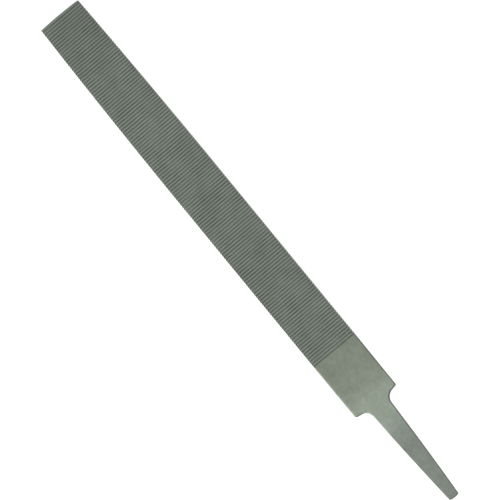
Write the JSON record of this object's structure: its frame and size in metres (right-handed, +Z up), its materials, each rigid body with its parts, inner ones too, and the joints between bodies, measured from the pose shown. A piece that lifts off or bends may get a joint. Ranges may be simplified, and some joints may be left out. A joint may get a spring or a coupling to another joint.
{
  "type": "flat file",
  "caption": "Flat engineer's file without a handle: single-cut toothed blade that narrows towards the tip, plain heel, shoulders and a tapering tang.",
  "frame": {"origin": "centre of the overall length and width, on the surface that the file lies on", "axes": "+X along the file towards its tip, with the tang at -X; +Y across its width; +Z up through its thickness"},
  "size_m": [0.312, 0.0264, 0.006],
  "materials": {
    "file_steel": "ground, satin"
  },
  "bodies": {
    "root": {"file_blade_and_tang": "file_steel"}
  },
  "joints": []
}
